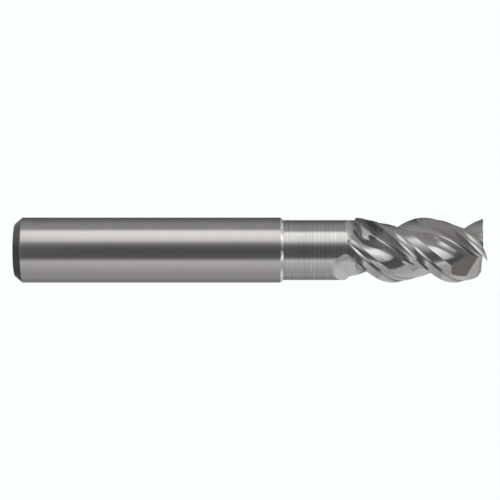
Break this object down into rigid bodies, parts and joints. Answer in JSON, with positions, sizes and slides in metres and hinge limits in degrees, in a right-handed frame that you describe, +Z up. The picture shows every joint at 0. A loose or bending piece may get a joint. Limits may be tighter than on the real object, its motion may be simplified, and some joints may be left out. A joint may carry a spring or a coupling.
{
  "type": "end mill",
  "caption": "Square end mill for aluminium: carbide head with deep steep-helix flutes and a relieved neck, brazed into a plain round shank.",
  "frame": {"origin": "centre of the shank's flat rear face, on the tool's axis", "axes": "+X along the tool's axis towards the cutting tip, +Z up, +Y away from the side the tool is usually looked at"},
  "size_m": [0.072, 0.01, 0.01],
  "materials": {
    "shank_steel": "finely ground, satin",
    "braze": "silver brazing alloy, ground flush",
    "carbide": "ground neck, polished flutes"
  },
  "bodies": {
    "root": {"shank": "shank_steel", "braze_film": "braze", "cutting_head": "carbide"}
  },
  "joints": []
}
